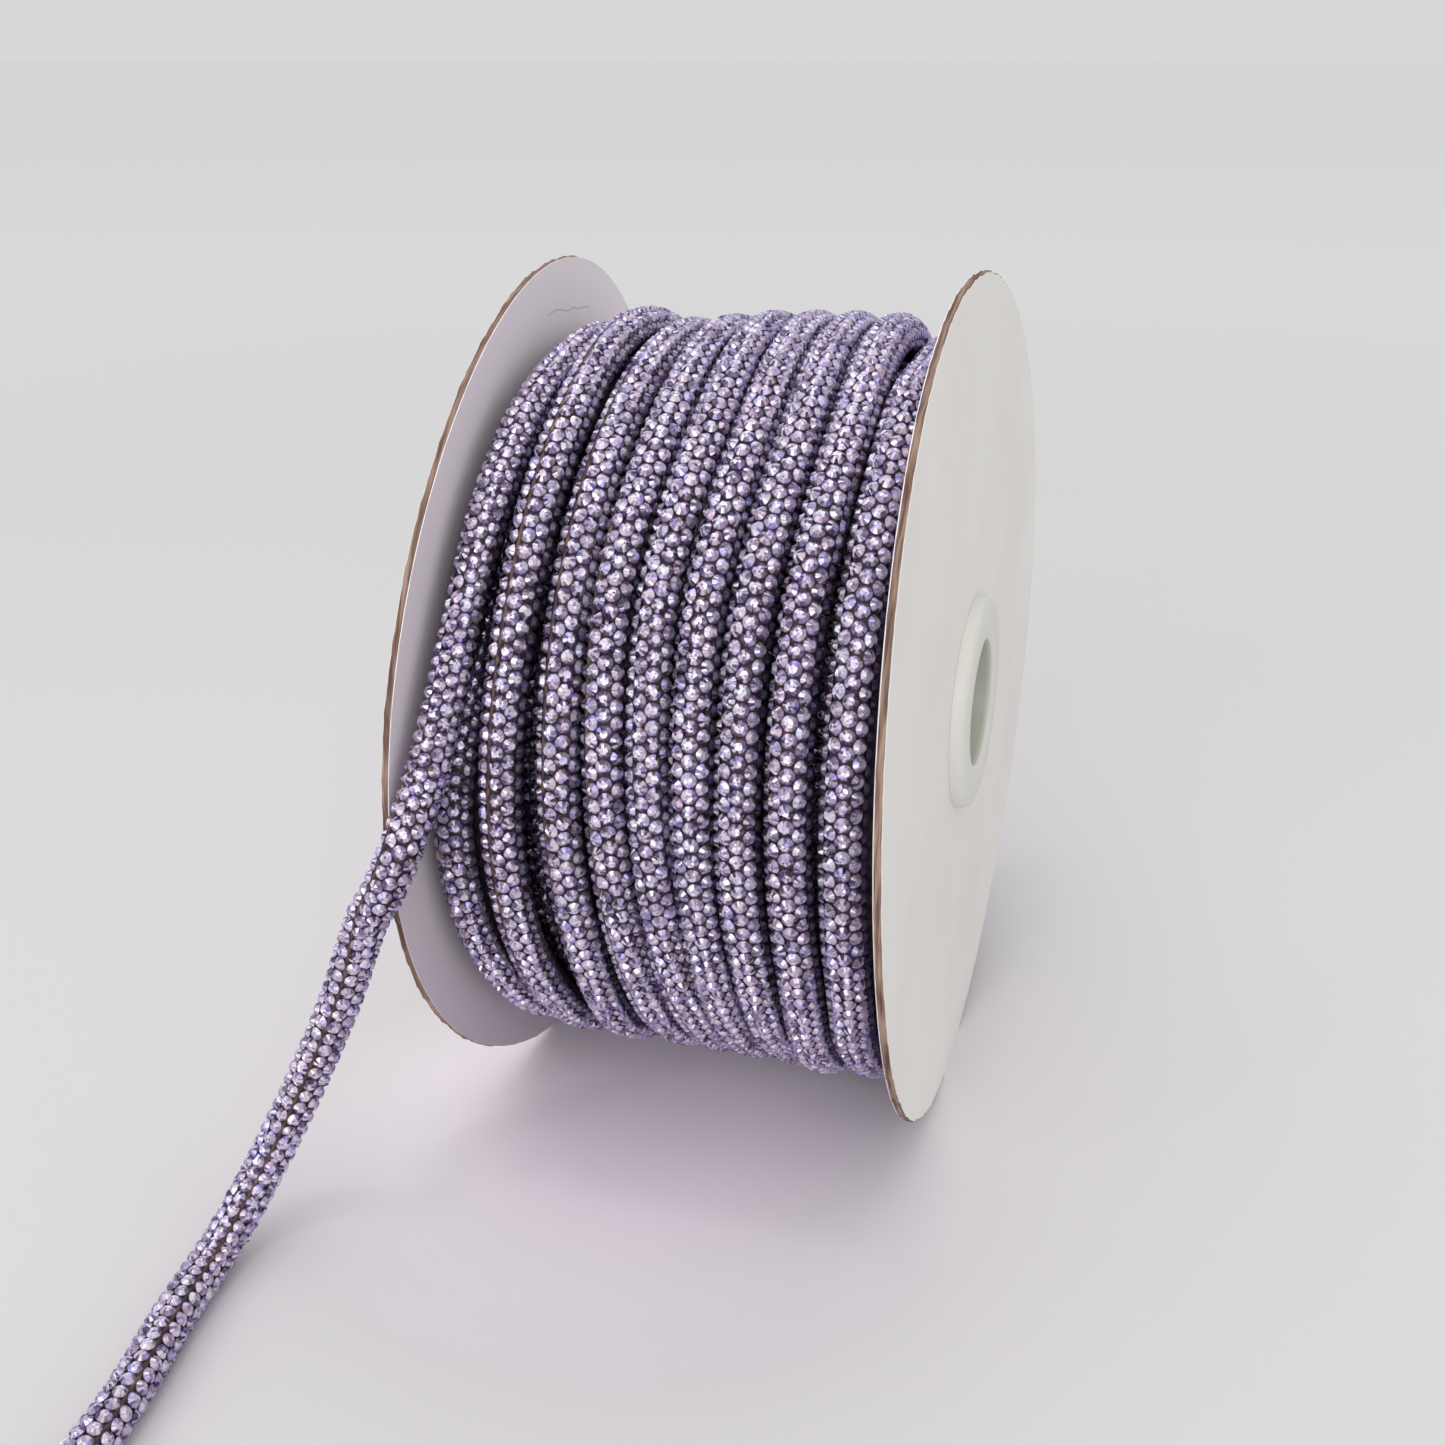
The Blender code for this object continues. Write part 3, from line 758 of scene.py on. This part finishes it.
def hub(side, word, plastic):
    """Half of the hub: the collar outside the flange and the sleeve of the bore."""
    sleeve = BORE_RADIUS + HUB_WALL
    seat = OUTER_FACE + 0.02
    face = OUTER_FACE + CLEARANCE + COLLAR_HEIGHT
    outline = [
        (CLEARANCE / 2, BORE_RADIUS), (CLEARANCE / 2, sleeve), (seat, sleeve), (seat, COLLAR_RADIUS),
        (face - 0.9, COLLAR_RADIUS - 0.1), (face - 0.35, COLLAR_RADIUS - 0.35),
        (face, COLLAR_RADIUS - 1.0),
        (face, BORE_RADIUS + 0.9), (face - 0.25, BORE_RADIUS + 0.3), (face - 0.9, BORE_RADIUS),
    ]
    shape = turned([(side * x, radius) for x, radius in outline], 96)
    bmesh.ops.translate(shape, verts=shape.verts, vec=(0, 0, AXIS_HEIGHT))
    moulding = mesh_object(f"hub_{word}_moulding", shape, plastic, smooth_angle=40)
    place_piece(moulding, "hub_plastic", f"hub_{word}")


def inner_roll(finish):
    """The deeper layers, a plain roll of the dark net without stones: partly the rope there, partly a
    dark stand-in for the shade between the turns.
    """
    outer = ROPE_LINE_RADIUS - LAYER_DROP
    end = HALF_GAP - 1.0
    inner = CORE_RADIUS + CLEARANCE
    shape = turned([(-end, inner), (-end, outer), (end, outer), (end, inner)], 96)
    bmesh.ops.translate(shape, verts=shape.verts, vec=(0, 0, AXIS_HEIGHT - WINDING_SAG))
    place_piece(mesh_object("inner_roll", shape, finish, smooth_angle=40), "rhinestone_rope")


def make_camera():
    lens = bpy.data.cameras.new("photo_camera")
    lens.sensor_width = SENSOR_WIDTH
    lens.lens = FOCAL_PIXELS / PHOTO_WIDTH * SENSOR_WIDTH
    lens.clip_start = 0.01
    item = bpy.data.objects.new("photo_camera", lens)
    item.location = [part * MM for part in CAMERA_PLACE]
    item.rotation_euler = (math.radians(90 - CAMERA_DIP), 0, math.radians(CAMERA_TURN))
    bpy.context.collection.objects.link(item)
    bpy.context.scene.camera = item


def area_light(name, place, aim, size, power):
    lamp = bpy.data.lights.new(name, "AREA")
    lamp.shape = "RECTANGLE"
    lamp.size, lamp.size_y = size
    lamp.energy = power
    item = bpy.data.objects.new(name, lamp)
    item.location = place
    item.rotation_euler = (Vector(aim) - Vector(place)).to_track_quat("-Z", "Y").to_euler()
    bpy.context.collection.objects.link(item)


def studio():
    """A wide pale floor that meets an even pale surround, one soft light overhead and small glints."""
    bpy.context.scene.view_settings.view_transform = "Standard"
    shape = bmesh.new()
    bmesh.ops.create_grid(shape, x_segments=1, y_segments=1, size=60000)
    ground = mesh_object("floor", shape, floor_finish())
    bpy.context.collection.objects.link(ground)
    world = bpy.data.worlds.new("studio")
    world.use_nodes = True
    world.node_tree.nodes["Background"].inputs["Color"].default_value = linear("#D7D7D7")
    bpy.context.scene.world = world
    lamp = bpy.data.lights.new("overhead_softbox", "SUN")
    lamp.energy = 0.5
    lamp.angle = math.radians(70)
    item = bpy.data.objects.new("overhead_softbox", lamp)
    item.rotation_euler = (math.radians(-6), math.radians(-10), 0)
    bpy.context.collection.objects.link(item)
    area_light("front_softbox", (0.2, -2.0, 0.68), (0, 0, 0.05), (2.0, 1.2), 17.0)
    area_light("front_glint", (-0.35, -0.6, 0.45), (0, 0, 0.06), (0.05, 0.05), 0.19)
    area_light("side_glint", (0.35, -0.55, 0.5), (0, 0, 0.06), (0.04, 0.08), 0.14)
    area_light("top_glint", (0.0, -0.1, 0.7), (0, 0, 0.06), (0.06, 0.06), 0.22)


def floor_finish():
    """Matt seamless background paper, painted paler and lilac close to the roll: painted light in its
    shadow and painted bounce from the stones.
    """
    made, tree, shader = new_material("seamless_background_paper", 0.9)
    shader.inputs["Specular IOR Level"].default_value = 0.0
    spot = add(tree, "ShaderNodeTexCoord").outputs["Object"]
    away = add(tree, "ShaderNodeVectorMath", {"operation": "DISTANCE"},
               {0: spot, 1: (-0.008, -0.032, 0.0)})
    # Painted light under the roll: paler and lilac near it, plain further out
    colour = ramp(tree, away.outputs["Value"], [
        (0.018, "#F9EFF8"), (0.05, "#DEDBDE"), (0.4, "#DDDDDD"), (1.0, "#E6E6E6")])
    tree.links.new(colour, shader.inputs["Base Color"])
    return made


make_camera()

crystals = crystal("lilac_foil_backed_crystal")
# A darker copy of the crystal for the layer beneath, as painted shade
shaded_crystals = crystal("painted_shade_foil_backed_crystal", 0.3)
net = net_cloth()
thread = seam_thread()
board = grey_board()
paper = facing_paper()
liner = shaded_liner()
plastic = hub_plastic()

long_rope = wound_line(long_rope_knots(), lift_at, dive_at)
loose_turn = wound_line([dict(knot, seam=-85) for knot in LOOSE_TURN])
loose_end = loose_line()
below = lower_line()

end_net = tube("loose_end_net", [loose_end["points"]], NET_RADIUS * LOOSE_SCALE, 3.0, net, sides=3)
place_piece(end_net, "rhinestone_rope", "rope_end")
stone = stone_shape(10)
turn_run = run_of(loose_turn["points"])[-1]
loose_places = stone_places(joined(backward(loose_turn), loose_end), LOOSE_SCALE, 180, LOOSE_VALLEY,
                            turn_run + LOOSE_VALLEY_PAST)
end_places, turn_places = parted(loose_places, loose_places["run"] > turn_run)
end_stones = set_stones("loose_end_stones", stone, end_places, LOOSE_SCALE, crystals)
end_seam = as_mesh(tube("loose_end_seam", [seam_points(loose_end, LOOSE_SCALE)], SEAM_RADIUS, 1.5, thread,
                        sides=1))
place_piece(end_seam, "rhinestone_rope")

winding_net = as_mesh(tube("winding_net", [long_rope["points"], loose_turn["points"], below["points"]],
                           NET_RADIUS, 3.0, net))
place_piece(winding_net, "rhinestone_rope", "rope_winding")
winding_seam = as_mesh(tube("winding_seam", [seam_points(long_rope, 1.0), seam_points(loose_turn, 1.0)],
                            SEAM_RADIUS, 2.0, thread, sides=1))
place_piece(winding_seam, "rhinestone_rope")
wound = stone_places(long_rope, 1.0, WOUND_REACH, WOUND_VALLEY)
share = len(wound["centre"]) // 3 + 1
order = np.argsort(wound["centre"][:, 0])
for i, word in enumerate(("left", "middle", "right")):
    chosen = order[i * share:(i + 1) * share]
    third = {key: value[chosen] for key, value in wound.items()}
    set_stones(f"winding_stones_{word}", stone, third, 1.0, crystals)
set_stones("loose_turn_stones", stone, turn_places, LOOSE_SCALE, crystals)
lower_places = stone_places(below, 1.0, LOWER_REACH)
# Painted shade on every stone of the layer beneath, weaker in the hollow
lower_places["shade"] = np.where(in_hollow(lower_places["centre"]), HOLLOW_SHADE, LOWER_SHADE)
set_stones("lower_layer_stones", stone_shape(6), lower_places, 1.0, shaded_crystals)
inner_roll(net)
flange(-1, "left", WARP_LEFT, board, paper, liner)
flange(1, "right", WARP_RIGHT, board, paper, liner)
hub(-1, "left", plastic)
hub(1, "right", plastic)
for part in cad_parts["core_tube"].material_slots:
    part.material = board
studio()
